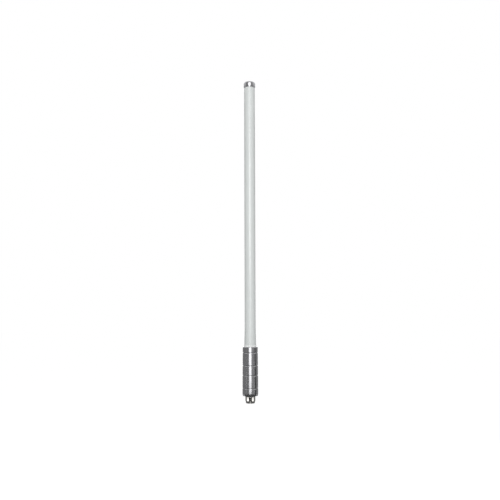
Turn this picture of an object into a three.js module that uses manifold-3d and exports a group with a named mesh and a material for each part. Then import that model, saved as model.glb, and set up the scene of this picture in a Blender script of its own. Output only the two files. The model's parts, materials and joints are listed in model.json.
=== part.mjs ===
// A slim outdoor omnidirectional antenna, 618 mm tall, in millimetres with +Z up.
// A glass-fibre radome tube stands in a turned metal base and is closed by a turned metal cap. Inside it, a
// coaxial feed, a quarter-wave decoupling sleeve, two radiator rods and a phasing coil stand on the axis. Under
// the base is an N-type plug, whose coupling nut spins freely. The origin is the centre of the nut's mouth.

import * as THREE from "three";
import { mergeVertices } from "three/addons/utils/BufferGeometryUtils.js";
import Module from "manifold-3d";

// Fits, each a radial gap or a gap between two faces
const SLIP_GAP = 0.1;
const RUNNING_GAP = 0.25;
const SEAL_GAP = 0.03;
const END_GAP = 0.3;

// Coupling nut
const NUT_LENGTH = 13.5;
const NUT_ROUND_DIAMETER = 19.4;
const NUT_ACROSS_FLATS = 19;
const NUT_FLAT_COUNT = 6;
const NUT_FRONT_CHAMFER = 1.4;
const NUT_FRONT_CHAMFER_LENGTH = 4.9;
const NUT_REAR_CHAMFER = 1;
const NUT_REAR_CHAMFER_LENGTH = 1.4;
const NUT_BORE_DIAMETER = 15.1;
const NUT_BORE_DEPTH = 8.2;
const NUT_BORE_LEAD_IN = 0.5;
const NUT_TO_BASE_GAP = 0.5;

// Snap ring that keeps the nut on the plug
const SNAP_RING_WIRE = 0.9;
const SNAP_RING_WIDTH = 1.2;
const SNAP_RING_SPLIT = 2;
const SNAP_RING_FROM_NUT_REAR = 2.6;

// Plug, from its front to its rear
const PLUG_SHANK_DIAMETER = 12.5;
const PLUG_FLANGE_DIAMETER = 18.8;
const PLUG_FLANGE_THICKNESS = 2.6;
const PLUG_FLANGE_INSET = 0.4;
const PLUG_REAR_DIAMETER = 11;
const PLUG_REAR_LENGTH = 13;
const PLUG_REAR_BORE_DIAMETER = 5.2;
const PLUG_O_RING_SECTION = 1.5;
const GASKET_THICKNESS = 1.2;
const CONTACT_DIAMETER = 8.3;
const CONTACT_WALL = 0.5;
const CONTACT_TIP_INSET = 2.2;
const CONTACT_DEPTH_IN_BODY = 5.5;
const CONTACT_SLOT_COUNT = 4;
const CONTACT_SLOT_WIDTH = 0.5;
const CONTACT_SLOT_LENGTH = 4;
const INSULATOR_FACE_INSET = 6.2;
const INSULATOR_LENGTH_IN_BODY = 8;
const PIN_TIP_INSET = 2.9;
const PIN_TIP_DIAMETER = 1.65;
const PIN_TIP_ROUNDING = 0.6;
const PIN_SHOULDER_DIAMETER = 3;

// Nut and washer that clamp the plug in the floor of the base
const LOCK_WASHER_THICKNESS = 1;
const LOCK_WASHER_WIDTH = 1.6;
const LOCK_WASHER_SPLIT = 1;
const REAR_NUT_ACROSS_FLATS = 14;
const REAR_NUT_THICKNESS = 4;

// Base, whose outside is five bands with a ring groove between each two
const BOTTOM_BAND = 13.1;
const LOWER_BAND = 22.05;
const MIDDLE_BAND = 16.4;
const UPPER_BAND = 22.05;
const TOP_BAND = 9.75;
const BASE_GROOVE_WIDTH = 2.2;
const BASE_GROOVE_DEPTH = 0.8;
const BASE_BOTTOM_DIAMETER = 30;
const BASE_TOP_DIAMETER = 28.6;
const BASE_TOP_CHAMFER = 0.8;
const BASE_FOOT_CHAMFER = 0.6;
const BASE_FOOT_CHAMFER_LENGTH = 3;
const BASE_FLOOR_THICKNESS = 5;
const CONNECTOR_CHAMBER_DEPTH = 13.7;

// Radome tube and its seals
const TUBE_DIAMETER = 20.8;
const TUBE_WALL = 1.6;
const TUBE_LENGTH_SHOWN = 500.5;
const SEAT_RING_THICKNESS = 1.2;
const TUBE_O_RING_SECTION = 1.8;
const TUBE_O_RING_FROM_BORE_END = 8;
const BEAD_HEIGHT = 32;
const BEAD_LIP_HEIGHT = 2.6;
const BEAD_LIP_WIDTH = 1.4;
const BEAD_LIP_ROUNDING = 0.5;
const BEAD_TAPER_WIDTH = 0.7;
const BEAD_TIP_WIDTH = 0.05;

// Cap
const CAP_HEIGHT = 11.6;
const CAP_OVERHANG = 0.8;
const CAP_TOP_ROUNDING = 3;
const CAP_GROOVE_HEIGHT = 1.8;
const CAP_GROOVE_WIDTH = 1;
const CAP_GROOVE_DEPTH = 0.5;
const CAP_SPIGOT_LENGTH = 14;
const CAP_O_RING_SECTION = 1.8;

// Feed and decoupling sleeve
const COAX_DIAMETER = 3.6;
const COAX_CORE_DIAMETER = 0.9;
const COAX_CORE_LENGTH = 3.7;
const FERRULE_RIM_WIDTH = 1;
const FERRULE_RIM_THICKNESS = 1.2;
const SLEEVE_ABOVE_BASE = 12;
const SLEEVE_LENGTH = 82;
const SLEEVE_DIAMETER = 12;
const SLEEVE_WALL = 0.6;
const SLEEVE_SPACER_LENGTH = 6;
const SLEEVE_DISC_THICKNESS = 2;
const FEED_INSULATOR_DIAMETER = 10;
const FEED_INSULATOR_LENGTH = 12;

// Radiator
const ROD_DIAMETER = 3;
const LOWER_ROD_LENGTH = 160;
const COIL_TURNS = 7;
const COIL_PITCH = 3.2;
const COIL_WIRE_DIAMETER = 1.6;
const COIL_FORMER_DIAMETER = 7.2;
const COIL_BEND_RADIUS = 2;
const COIL_FERRULE_RIM = 0.4;
const COIL_FERRULE_FLOOR = 2;
const COIL_FERRULE_HOLE = 6;
const FOAM_DISC_THICKNESS = 8;
const TOP_DAMPER_LENGTH = 20;
const TOP_DAMPER_HOLE = 8;

// Facets of round pieces: the large ones, the small ones and the coil's wire
const LARGE_SIDES = 40;
const SMALL_SIDES = 24;
const RING_SECTION_SIDES = 6;
const CAP_ROUNDING_FACETS = 4;
const WIRE_SIDES = 6;
const COIL_STEPS_PER_TURN = 12;

// Finishes
const POLISHED_ALUMINIUM = { color: 0xb9bbbf, roughness: 0.25, metalness: 1 };
const NICKEL = { color: 0xc4bfb4, roughness: 0.2, metalness: 1 };
const GOLD = { color: 0xe0b45a, roughness: 0.25, metalness: 1 };
const BRASS = { color: 0xc8a456, roughness: 0.35, metalness: 1 };
const COPPER = { color: 0xc07a50, roughness: 0.35, metalness: 1 };
const SPRING_STEEL = { color: 0x8d8f92, roughness: 0.4, metalness: 1 };
const WHITE_FIBREGLASS = { color: 0xe6e9e8, roughness: 0.4, metalness: 0 };
const WHITE_SEALANT = { color: 0xeeefee, roughness: 0.5, metalness: 0 };
const WHITE_PLASTIC = { color: 0xf2f0ea, roughness: 0.45, metalness: 0 };
const GREY_FOAM = { color: 0x6e7174, roughness: 0.95, metalness: 0 };
const BLACK_RUBBER = { color: 0x1c1c1d, roughness: 0.8, metalness: 0 };
const RED_SILICONE = { color: 0xa8392e, roughness: 0.6, metalness: 0 };

const wasm = await Module();
wasm.setup();

const fixed = new THREE.Group();
const turning = new THREE.Group();

// A closed geometry as a solid that can be cut and joined.
function solidOf(geometry) {
  const bare = geometry.clone();
  bare.deleteAttribute("normal");
  bare.deleteAttribute("uv");
  const merged = mergeVertices(bare);
  return new wasm.Manifold(
    new wasm.Mesh({
      numProp: 3,
      vertProperties: merged.attributes.position.array,
      triVerts: new Uint32Array(merged.index.array),
    }),
  );
}

function geometryOf(solid) {
  const mesh = solid.getMesh();
  const shared = new THREE.BufferGeometry();
  shared.setAttribute("position", new THREE.BufferAttribute(mesh.vertProperties, 3));
  shared.setIndex(new THREE.BufferAttribute(mesh.triVerts, 1));
  const flat = shared.toNonIndexed();
  flat.computeVertexNormals();
  return flat;
}

// Turns an outline of [radius, height] points round the Z axis. The points run up the outside and down the
// inside. An outline that has a bore is closed back to its first point.
function turned(outline, sides = SMALL_SIDES) {
  const points = outline.map(([radius, height]) => new THREE.Vector2(radius, height));
  if (outline[0][0] > 0) points.push(points[0].clone());
  return new THREE.LatheGeometry(points, sides).rotateX(Math.PI / 2);
}

function ring(innerRadius, outerRadius, bottom, top, sides = SMALL_SIDES) {
  return turned(
    [
      [innerRadius, bottom],
      [outerRadius, bottom],
      [outerRadius, top],
      [innerRadius, top],
    ],
    sides,
  );
}

function rod(radius, bottom, top, sides = SMALL_SIDES) {
  return turned(
    [
      [0, bottom],
      [radius, bottom],
      [radius, top],
      [0, top],
    ],
    sides,
  );
}

// A ring of round section, such as a seal.
function roundRing(meanRadius, section, height, sides) {
  const outline = [];
  for (let i = 0; i < RING_SECTION_SIDES; i++) {
    const angle = (2 * Math.PI * i) / RING_SECTION_SIDES;
    outline.push([
      meanRadius + (section / 2) * Math.cos(angle),
      height + (section / 2) * Math.sin(angle),
    ]);
  }
  return turned(outline, sides);
}

// A prism with flats, given by its size across them. Its first corner points along +X, or is turned from there.
function flatSidedPrism(acrossFlats, count, bottom, top, turn = 0) {
  const cornerRadius = acrossFlats / 2 / Math.cos(Math.PI / count);
  const shape = new THREE.Shape();
  for (let i = 0; i < count; i++) {
    const angle = turn + (2 * Math.PI * i) / count;
    const x = cornerRadius * Math.cos(angle);
    const y = cornerRadius * Math.sin(angle);
    if (i === 0) shape.moveTo(x, y);
    else shape.lineTo(x, y);
  }
  shape.closePath();
  const prism = new THREE.ExtrudeGeometry(shape, { depth: top - bottom, bevelEnabled: false });
  return prism.translate(0, 0, bottom);
}

// A radial cutter that runs from the axis outwards at an angle.
function radialCutter(width, reach, bottom, top, angle) {
  return new THREE.BoxGeometry(reach, width, top - bottom)
    .translate(reach / 2, 0, (bottom + top) / 2)
    .rotateZ(angle);
}

function place(group, name, geometry, finish) {
  const piece = new THREE.Mesh(geometry, new THREE.MeshStandardMaterial(finish));
  piece.name = name;
  group.add(piece);
}

// Heights that more than one piece meets
const nutRear = NUT_LENGTH;
const baseBottom = nutRear + NUT_TO_BASE_GAP;
const flangeFront = baseBottom + PLUG_FLANGE_INSET;
const flangeRear = flangeFront + PLUG_FLANGE_THICKNESS;
const chamberFloor = flangeRear + BASE_FLOOR_THICKNESS;
const plugRear = flangeRear + PLUG_REAR_LENGTH;
const tubeSeat = chamberFloor + CONNECTOR_CHAMBER_DEPTH;
const tubeBottom = tubeSeat + SEAT_RING_THICKNESS;
const bands = [BOTTOM_BAND, LOWER_BAND, MIDDLE_BAND, UPPER_BAND, TOP_BAND];
const baseLength = bands.reduce((sum, band) => sum + band) + (bands.length - 1) * BASE_GROOVE_WIDTH;
const baseTop = baseBottom + baseLength;
const tubeTop = baseTop + TUBE_LENGTH_SHOWN;
const capTop = tubeTop + CAP_HEIGHT;
const spigotBottom = tubeTop - CAP_SPIGOT_LENGTH;

// Radii that more than one piece meets
const tubeRadius = TUBE_DIAMETER / 2;
const tubeBoreRadius = tubeRadius - TUBE_WALL;
const shankRadius = PLUG_SHANK_DIAMETER / 2;
const rearRadius = PLUG_REAR_DIAMETER / 2;
const contactRadius = CONTACT_DIAMETER / 2;
const coaxRadius = COAX_DIAMETER / 2;
const rodRadius = ROD_DIAMETER / 2;

// Coupling nut: a round nut with flats milled on it, threaded in front and closed in to the shank behind, with
// a groove inside for the snap ring.
const snapRingMiddle = nutRear - SNAP_RING_FROM_NUT_REAR;
const snapGrooveHalfWidth = SNAP_RING_WIRE / 2 + RUNNING_GAP;
const nutRearBoreRadius = shankRadius + RUNNING_GAP;
const snapRingOuterRadius = shankRadius + SNAP_RING_WIDTH / 2;

function couplingNut() {
  const outside = NUT_ROUND_DIAMETER / 2;
  const bore = NUT_BORE_DIAMETER / 2;
  const snapGrooveRadius = snapRingOuterRadius + RUNNING_GAP;
  const round = turned(
    [
      [bore + NUT_BORE_LEAD_IN, 0],
      [outside - NUT_FRONT_CHAMFER, 0],
      [outside, NUT_FRONT_CHAMFER_LENGTH],
      [outside, nutRear - NUT_REAR_CHAMFER_LENGTH],
      [outside - NUT_REAR_CHAMFER, nutRear],
      [nutRearBoreRadius, nutRear],
      [nutRearBoreRadius, snapRingMiddle + snapGrooveHalfWidth],
      [snapGrooveRadius, snapRingMiddle + snapGrooveHalfWidth],
      [snapGrooveRadius, snapRingMiddle - snapGrooveHalfWidth],
      [nutRearBoreRadius, snapRingMiddle - snapGrooveHalfWidth],
      [nutRearBoreRadius, NUT_BORE_DEPTH],
      [bore, NUT_BORE_DEPTH],
      [bore, NUT_BORE_LEAD_IN],
    ],
    LARGE_SIDES,
  );
  const cornerToFront = Math.PI / 2;
  const flats = flatSidedPrism(NUT_ACROSS_FLATS, NUT_FLAT_COUNT, -1, nutRear + 1, cornerToFront);
  return geometryOf(solidOf(round).intersect(solidOf(flats)));
}
place(turning, "coupling_nut", couplingNut(), NICKEL);

// Snap ring: a split ring of flat wire, half in the plug's groove and half in the nut's.
const snapRingInnerRadius = snapRingOuterRadius - SNAP_RING_WIDTH;

function splitRing(innerRadius, outerRadius, bottom, top, split) {
  const whole = solidOf(ring(innerRadius, outerRadius, bottom, top));
  const gap = radialCutter(split, outerRadius + 1, bottom - 1, top + 1, 0);
  return geometryOf(whole.subtract(solidOf(gap)));
}
place(
  fixed,
  "nut_snap_ring",
  splitRing(
    snapRingInnerRadius,
    snapRingOuterRadius,
    snapRingMiddle - SNAP_RING_WIRE / 2,
    snapRingMiddle + SNAP_RING_WIRE / 2,
    SNAP_RING_SPLIT,
  ),
  SPRING_STEEL,
);

// Plug body: a shank that the nut turns on, a flange let into the bottom of the base, and a threaded rear end.
const bodyFront = NUT_BORE_DEPTH + SLIP_GAP;
const contactSeat = bodyFront + CONTACT_DEPTH_IN_BODY;
const insulatorRear = contactSeat + INSULATOR_LENGTH_IN_BODY;
const plugORingRadius = (rearRadius + PLUG_FLANGE_DIAMETER / 2) / 2;
const plugORingGrooveDepth = PLUG_O_RING_SECTION + SEAL_GAP;
const insulatorRadius = contactRadius - CONTACT_WALL - SLIP_GAP / 2;

function plugBody() {
  const flange = PLUG_FLANGE_DIAMETER / 2;
  const contactBore = contactRadius + SLIP_GAP / 2;
  const insulatorBore = insulatorRadius + SLIP_GAP / 2;
  const ferruleBore = PLUG_REAR_BORE_DIAMETER / 2;
  const snapFloor = snapRingInnerRadius - SLIP_GAP;
  const grooveHalf = PLUG_O_RING_SECTION / 2 + SEAL_GAP;
  return turned([
    [contactBore, bodyFront],
    [shankRadius, bodyFront],
    [shankRadius, snapRingMiddle - snapGrooveHalfWidth],
    [snapFloor, snapRingMiddle - snapGrooveHalfWidth],
    [snapFloor, snapRingMiddle + snapGrooveHalfWidth],
    [shankRadius, snapRingMiddle + snapGrooveHalfWidth],
    [shankRadius, flangeFront],
    [flange, flangeFront],
    [flange, flangeRear],
    [plugORingRadius + grooveHalf, flangeRear],
    [plugORingRadius + grooveHalf, flangeRear - plugORingGrooveDepth],
    [plugORingRadius - grooveHalf, flangeRear - plugORingGrooveDepth],
    [plugORingRadius - grooveHalf, flangeRear],
    [rearRadius, flangeRear],
    [rearRadius, plugRear],
    [ferruleBore, plugRear],
    [ferruleBore, insulatorRear],
    [insulatorBore, insulatorRear],
    [insulatorBore, contactSeat],
    [contactBore, contactSeat],
  ]);
}
place(fixed, "plug_body", plugBody(), NICKEL);
place(
  fixed,
  "plug_o_ring",
  roundRing(plugORingRadius, PLUG_O_RING_SECTION, flangeRear - plugORingGrooveDepth / 2, SMALL_SIDES),
  BLACK_RUBBER,
);

// Gasket: a flat ring on the front of the body, where the mating jack's mouth presses.
place(
  fixed,
  "jack_gasket",
  ring(
    contactRadius + SLIP_GAP,
    NUT_BORE_DIAMETER / 2 - RUNNING_GAP,
    NUT_BORE_DEPTH - GASKET_THICKNESS,
    NUT_BORE_DEPTH,
  ),
  RED_SILICONE,
);

// Outer contact: a thin sleeve pressed into the body, with slots that let its front spring.
function contactSleeve() {
  let sleeve = solidOf(
    ring(contactRadius - CONTACT_WALL, contactRadius, CONTACT_TIP_INSET, contactSeat),
  );
  for (let i = 0; i < CONTACT_SLOT_COUNT; i++) {
    const slot = radialCutter(
      CONTACT_SLOT_WIDTH,
      contactRadius + 1,
      CONTACT_TIP_INSET - 1,
      CONTACT_TIP_INSET + CONTACT_SLOT_LENGTH,
      (2 * Math.PI * i) / CONTACT_SLOT_COUNT,
    );
    sleeve = sleeve.subtract(solidOf(slot));
  }
  return geometryOf(sleeve);
}
place(fixed, "contact_sleeve", contactSleeve(), GOLD);

// Insulator and centre pin: a PTFE bead in the sleeve and body, with the pin through it.
const pinShoulderRadius = PIN_SHOULDER_DIAMETER / 2;
place(
  fixed,
  "plug_insulator",
  ring(pinShoulderRadius + SLIP_GAP / 2, insulatorRadius, INSULATOR_FACE_INSET, insulatorRear),
  WHITE_PLASTIC,
);
place(
  fixed,
  "centre_pin",
  turned([
    [0, PIN_TIP_INSET],
    [PIN_TIP_DIAMETER / 2 - PIN_TIP_ROUNDING, PIN_TIP_INSET],
    [PIN_TIP_DIAMETER / 2, PIN_TIP_INSET + PIN_TIP_ROUNDING],
    [PIN_TIP_DIAMETER / 2, INSULATOR_FACE_INSET],
    [pinShoulderRadius, INSULATOR_FACE_INSET],
    [pinShoulderRadius, insulatorRear],
    [0, insulatorRear],
  ]),
  GOLD,
);

// Clamping nut and washer: they hold the plug's rear thread in the floor of the base.
const washerTop = chamberFloor + LOCK_WASHER_THICKNESS;
const washerInnerRadius = rearRadius + SLIP_GAP;
place(
  fixed,
  "lock_washer",
  splitRing(
    washerInnerRadius,
    washerInnerRadius + LOCK_WASHER_WIDTH,
    chamberFloor,
    washerTop,
    LOCK_WASHER_SPLIT,
  ),
  SPRING_STEEL,
);

function rearNut() {
  const top = washerTop + REAR_NUT_THICKNESS;
  const block = flatSidedPrism(REAR_NUT_ACROSS_FLATS, 6, washerTop, top);
  const hole = rod(rearRadius + SLIP_GAP, washerTop - 1, top + 1);
  return geometryOf(solidOf(block).subtract(solidOf(hole)));
}
place(fixed, "plug_rear_nut", rearNut(), NICKEL);

// Base: a slightly tapered sleeve. Its floor carries the plug, and its bore the tube, with two seal grooves.
const tubeORingRadius = tubeRadius + SEAL_GAP + TUBE_O_RING_SECTION / 2;
const tubeORingHeights = [tubeSeat + TUBE_O_RING_FROM_BORE_END, baseTop - TUBE_O_RING_FROM_BORE_END];

function baseHousing() {
  const radiusAt = (height) =>
    THREE.MathUtils.mapLinear(
      height,
      baseBottom,
      baseTop,
      BASE_BOTTOM_DIAMETER / 2,
      BASE_TOP_DIAMETER / 2,
    );
  const counterbore = PLUG_FLANGE_DIAMETER / 2 + SLIP_GAP;
  const floorHole = rearRadius + SLIP_GAP;
  const bore = tubeRadius + SLIP_GAP;
  const sealGroove = tubeORingRadius + TUBE_O_RING_SECTION / 2 + SEAL_GAP;
  const sealHalf = TUBE_O_RING_SECTION / 2 + SEAL_GAP;
  const outline = [
    [counterbore, baseBottom],
    [radiusAt(baseBottom) - BASE_FOOT_CHAMFER, baseBottom],
    [radiusAt(baseBottom + BASE_FOOT_CHAMFER_LENGTH), baseBottom + BASE_FOOT_CHAMFER_LENGTH],
  ];
  let height = baseBottom;
  for (const band of bands.slice(0, -1)) {
    const low = height + band;
    const high = low + BASE_GROOVE_WIDTH;
    outline.push(
      [radiusAt(low), low],
      [radiusAt(low) - BASE_GROOVE_DEPTH, low],
      [radiusAt(high) - BASE_GROOVE_DEPTH, high],
      [radiusAt(high), high],
    );
    height = high;
  }
  outline.push(
    [radiusAt(baseTop - BASE_TOP_CHAMFER), baseTop - BASE_TOP_CHAMFER],
    [radiusAt(baseTop) - BASE_TOP_CHAMFER, baseTop],
    [bore, baseTop],
  );
  for (const middle of tubeORingHeights.toReversed()) {
    outline.push(
      [bore, middle + sealHalf],
      [sealGroove, middle + sealHalf],
      [sealGroove, middle - sealHalf],
      [bore, middle - sealHalf],
    );
  }
  outline.push(
    [bore, tubeSeat],
    [tubeBoreRadius, tubeSeat],
    [tubeBoreRadius, chamberFloor],
    [floorHole, chamberFloor],
    [floorHole, flangeRear],
    [counterbore, flangeRear],
  );
  return turned(outline, LARGE_SIDES);
}
place(fixed, "base_housing", baseHousing(), POLISHED_ALUMINIUM);

// Radome tube, the cushion ring under it and the two seals round it.
place(
  fixed,
  "radome_tube",
  ring(tubeBoreRadius, tubeRadius, tubeBottom, tubeTop, LARGE_SIDES),
  WHITE_FIBREGLASS,
);
place(
  fixed,
  "tube_seat_ring",
  ring(tubeBoreRadius, tubeRadius, tubeSeat, tubeBottom, LARGE_SIDES),
  BLACK_RUBBER,
);
["lower_tube_o_ring", "upper_tube_o_ring"].forEach((name, i) =>
  place(
    fixed,
    name,
    roundRing(tubeORingRadius, TUBE_O_RING_SECTION, tubeORingHeights[i], LARGE_SIDES),
    BLACK_RUBBER,
  ),
);

// Sealing bead: a rolled lip of sealant on the base's top face, and a thin skirt that tapers out up the tube.
function sealingBead() {
  const inside = tubeRadius + SEAL_GAP;
  const lip = inside + BEAD_LIP_WIDTH;
  const lipTop = baseTop + BEAD_LIP_HEIGHT;
  return turned(
    [
      [inside, baseTop],
      [lip - BEAD_LIP_ROUNDING, baseTop],
      [lip, baseTop + BEAD_LIP_ROUNDING],
      [lip, lipTop - BEAD_LIP_ROUNDING],
      [inside + BEAD_TAPER_WIDTH, lipTop],
      [inside + BEAD_TIP_WIDTH, baseTop + BEAD_HEIGHT],
      [inside, baseTop + BEAD_HEIGHT],
    ],
    LARGE_SIDES,
  );
}
place(fixed, "sealing_bead", sealingBead(), WHITE_SEALANT);

// Cap: a head on the tube's end, with a ring groove and a rounded top edge, and a spigot with a seal inside it.
const capORingMiddle = tubeTop - CAP_SPIGOT_LENGTH / 2;
const capORingRadius = tubeBoreRadius - SEAL_GAP - CAP_O_RING_SECTION / 2;

function topCap() {
  const head = tubeRadius + CAP_OVERHANG;
  const spigot = tubeBoreRadius - SLIP_GAP;
  const grooveMiddle = tubeTop + CAP_GROOVE_HEIGHT;
  const sealFloor = capORingRadius - CAP_O_RING_SECTION / 2 - SEAL_GAP;
  const sealHalf = CAP_O_RING_SECTION / 2 + SEAL_GAP;
  const topEdge = [];
  for (let i = 0; i <= CAP_ROUNDING_FACETS; i++) {
    const angle = ((Math.PI / 2) * i) / CAP_ROUNDING_FACETS;
    topEdge.push([
      head - CAP_TOP_ROUNDING * (1 - Math.cos(angle)),
      capTop - CAP_TOP_ROUNDING * (1 - Math.sin(angle)),
    ]);
  }
  return turned(
    [
      [0, spigotBottom],
      [spigot, spigotBottom],
      [spigot, capORingMiddle - sealHalf],
      [sealFloor, capORingMiddle - sealHalf],
      [sealFloor, capORingMiddle + sealHalf],
      [spigot, capORingMiddle + sealHalf],
      [spigot, tubeTop],
      [head, tubeTop],
      [head, grooveMiddle - CAP_GROOVE_WIDTH / 2],
      [head - CAP_GROOVE_DEPTH, grooveMiddle - CAP_GROOVE_WIDTH / 2],
      [head - CAP_GROOVE_DEPTH, grooveMiddle + CAP_GROOVE_WIDTH / 2],
      [head, grooveMiddle + CAP_GROOVE_WIDTH / 2],
      ...topEdge,
      [0, capTop],
    ],
    LARGE_SIDES,
  );
}
place(fixed, "top_cap", topCap(), POLISHED_ALUMINIUM);
place(
  fixed,
  "cap_o_ring",
  roundRing(capORingRadius, CAP_O_RING_SECTION, capORingMiddle, LARGE_SIDES),
  BLACK_RUBBER,
);

// Feed: a semi-rigid coaxial cable crimped in the plug, up to the feed point on top of the sleeve.
const coaxBottom = insulatorRear + END_GAP;
const sleeveBottom = baseTop + SLEEVE_ABOVE_BASE;
const sleeveTop = sleeveBottom + SLEEVE_LENGTH;
const discTop = sleeveTop + SLEEVE_DISC_THICKNESS;
const coreTop = discTop + COAX_CORE_LENGTH;
const coaxHole = coaxRadius + SLIP_GAP / 2;
place(
  fixed,
  "feed_coax",
  turned([
    [0, coaxBottom],
    [coaxRadius, coaxBottom],
    [coaxRadius, discTop],
    [COAX_CORE_DIAMETER / 2, discTop],
    [COAX_CORE_DIAMETER / 2, coreTop],
    [0, coreTop],
  ]),
  COPPER,
);

function coaxFerrule() {
  const barrel = PLUG_REAR_BORE_DIAMETER / 2 - SLIP_GAP / 2;
  const rim = barrel + FERRULE_RIM_WIDTH;
  return turned([
    [coaxHole, coaxBottom],
    [barrel, coaxBottom],
    [barrel, plugRear],
    [rim, plugRear],
    [rim, plugRear + FERRULE_RIM_THICKNESS],
    [coaxHole, plugRear + FERRULE_RIM_THICKNESS],
  ]);
}
place(fixed, "coax_ferrule", coaxFerrule(), BRASS);

// Decoupling sleeve: a thin brass tube, open at the bottom and shorted to the cable by a disc on top.
const sleeveRadius = SLEEVE_DIAMETER / 2;
const sleeveBoreRadius = sleeveRadius - SLEEVE_WALL;
place(
  fixed,
  "decoupling_sleeve",
  ring(sleeveBoreRadius, sleeveRadius, sleeveBottom, sleeveTop),
  BRASS,
);
place(
  fixed,
  "sleeve_bottom_spacer",
  ring(
    coaxHole,
    sleeveBoreRadius - SLIP_GAP / 2,
    sleeveBottom,
    sleeveBottom + SLEEVE_SPACER_LENGTH,
  ),
  WHITE_PLASTIC,
);
place(fixed, "sleeve_top_disc", ring(coaxHole, sleeveRadius, sleeveTop, discTop), BRASS);

// Feed insulator: a plastic cup on the disc. It holds the lower rod clear of the cable's screen.
const lowerRodBottom = coreTop + END_GAP;
const rodHole = rodRadius + SLIP_GAP / 2;
const feedInsulatorTop = discTop + FEED_INSULATOR_LENGTH;
const coreHole = COAX_CORE_DIAMETER / 2 + SLIP_GAP;
place(
  fixed,
  "feed_insulator",
  turned([
    [coreHole, discTop],
    [FEED_INSULATOR_DIAMETER / 2, discTop],
    [FEED_INSULATOR_DIAMETER / 2, feedInsulatorTop],
    [rodHole, feedInsulatorTop],
    [rodHole, lowerRodBottom],
    [coreHole, lowerRodBottom],
  ]),
  WHITE_PLASTIC,
);

// Phasing coil: one wire that rises straight from a ferrule, winds round the former, and rises straight into
// the next ferrule. Its centre line is drawn flat, as unrolled, and wrapped round the axis.
const coilRadius = COIL_FORMER_DIAMETER / 2 + SLIP_GAP + COIL_WIRE_DIAMETER / 2;

class Winding extends THREE.Curve {
  constructor(unrolled, base) {
    super();
    this.unrolled = unrolled;
    this.base = base;
  }
  getPoint(t, target = new THREE.Vector3()) {
    const point = this.unrolled.getPoint(t);
    const angle = point.x / coilRadius;
    return target.set(
      coilRadius * Math.cos(angle),
      coilRadius * Math.sin(angle),
      this.base + point.y,
    );
  }
}

function unrolledWinding() {
  const around = 2 * Math.PI * coilRadius * COIL_TURNS;
  const rise = COIL_PITCH * COIL_TURNS;
  const slope = Math.atan2(rise, around);
  const lead = COIL_WIRE_DIAMETER;
  const bend = COIL_BEND_RADIUS;
  const path = new THREE.Path();
  path.moveTo(0, 0);
  path.lineTo(0, lead);
  path.absarc(bend, lead, bend, Math.PI, Math.PI / 2 + slope, true);
  const start = path.currentPoint.clone();
  const end = new THREE.Vector2(start.x + around, start.y + rise);
  path.lineTo(end.x, end.y);
  path.absarc(
    end.x - bend * Math.sin(slope),
    end.y + bend * Math.cos(slope),
    bend,
    slope - Math.PI / 2,
    0,
    false,
  );
  const top = path.currentPoint.clone();
  path.lineTo(top.x, top.y + lead);
  return path;
}

// The least clear distance between parts of the wire that are more than half a turn apart.
function leastGap(points, perTurn) {
  let least = Infinity;
  points.forEach((a, i) =>
    points.slice(i + Math.round(perTurn / 2)).forEach((b) => {
      least = Math.min(least, a.distanceTo(b));
    }),
  );
  return least - COIL_WIRE_DIAMETER;
}

const lowerRodTop = lowerRodBottom + LOWER_ROD_LENGTH;
const coilBottom = lowerRodTop + COIL_FERRULE_FLOOR;
const unrolled = unrolledWinding();
const coilTop = coilBottom + unrolled.currentPoint.y;
const upperRodBottom = coilTop + COIL_FERRULE_FLOOR;

function phasingCoil() {
  const section = new THREE.Shape();
  for (let i = 0; i < WIRE_SIDES; i++) {
    const angle = (2 * Math.PI * i) / WIRE_SIDES;
    const x = (COIL_WIRE_DIAMETER / 2) * Math.cos(angle);
    const y = (COIL_WIRE_DIAMETER / 2) * Math.sin(angle);
    if (i === 0) section.moveTo(x, y);
    else section.lineTo(x, y);
  }
  section.closePath();
  const winding = new Winding(unrolled, coilBottom);
  const steps = (COIL_TURNS + 1) * COIL_STEPS_PER_TURN;
  console.log(
    "phasing coil: least gap " +
      leastGap(winding.getSpacedPoints(steps * 4), COIL_STEPS_PER_TURN * 4).toFixed(2) +
      " mm",
  );
  return new THREE.ExtrudeGeometry(section, { steps, extrudePath: winding, bevelEnabled: false });
}
place(fixed, "phasing_coil", phasingCoil(), COPPER);
place(fixed, "coil_former", rod(COIL_FORMER_DIAMETER / 2, coilBottom, coilTop), WHITE_PLASTIC);

// Coil ferrules: brass cups, each with a blind hole for a rod and a flat face that carries the coil.
function coilFerrule(face, away) {
  const outside = coilRadius + COIL_WIRE_DIAMETER / 2 + COIL_FERRULE_RIM;
  const floor = face + away * COIL_FERRULE_FLOOR;
  const mouth = floor + away * COIL_FERRULE_HOLE;
  const outline = [
    [0, face],
    [outside, face],
    [outside, mouth],
    [rodHole, mouth],
    [rodHole, floor],
    [0, floor],
  ];
  return turned(away > 0 ? outline : outline.reverse());
}
place(fixed, "lower_coil_ferrule", coilFerrule(coilBottom, -1), BRASS);
place(fixed, "upper_coil_ferrule", coilFerrule(coilTop, 1), BRASS);

// Rods: the lower one reaches from the feed to the coil, the upper one from the coil into the damper.
const damperBottom = spigotBottom - TOP_DAMPER_LENGTH;
const damperHoleTop = damperBottom + TOP_DAMPER_HOLE;
const upperRodTop = damperHoleTop - END_GAP;
place(fixed, "lower_radiator", rod(rodRadius, lowerRodBottom, lowerRodTop), COPPER);
place(fixed, "upper_radiator", rod(rodRadius, upperRodBottom, upperRodTop), COPPER);

// Foam: rings and discs that keep the radiator in the middle of the tube, and a block under the cap.
const foamRadius = tubeBoreRadius - SLIP_GAP;

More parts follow.
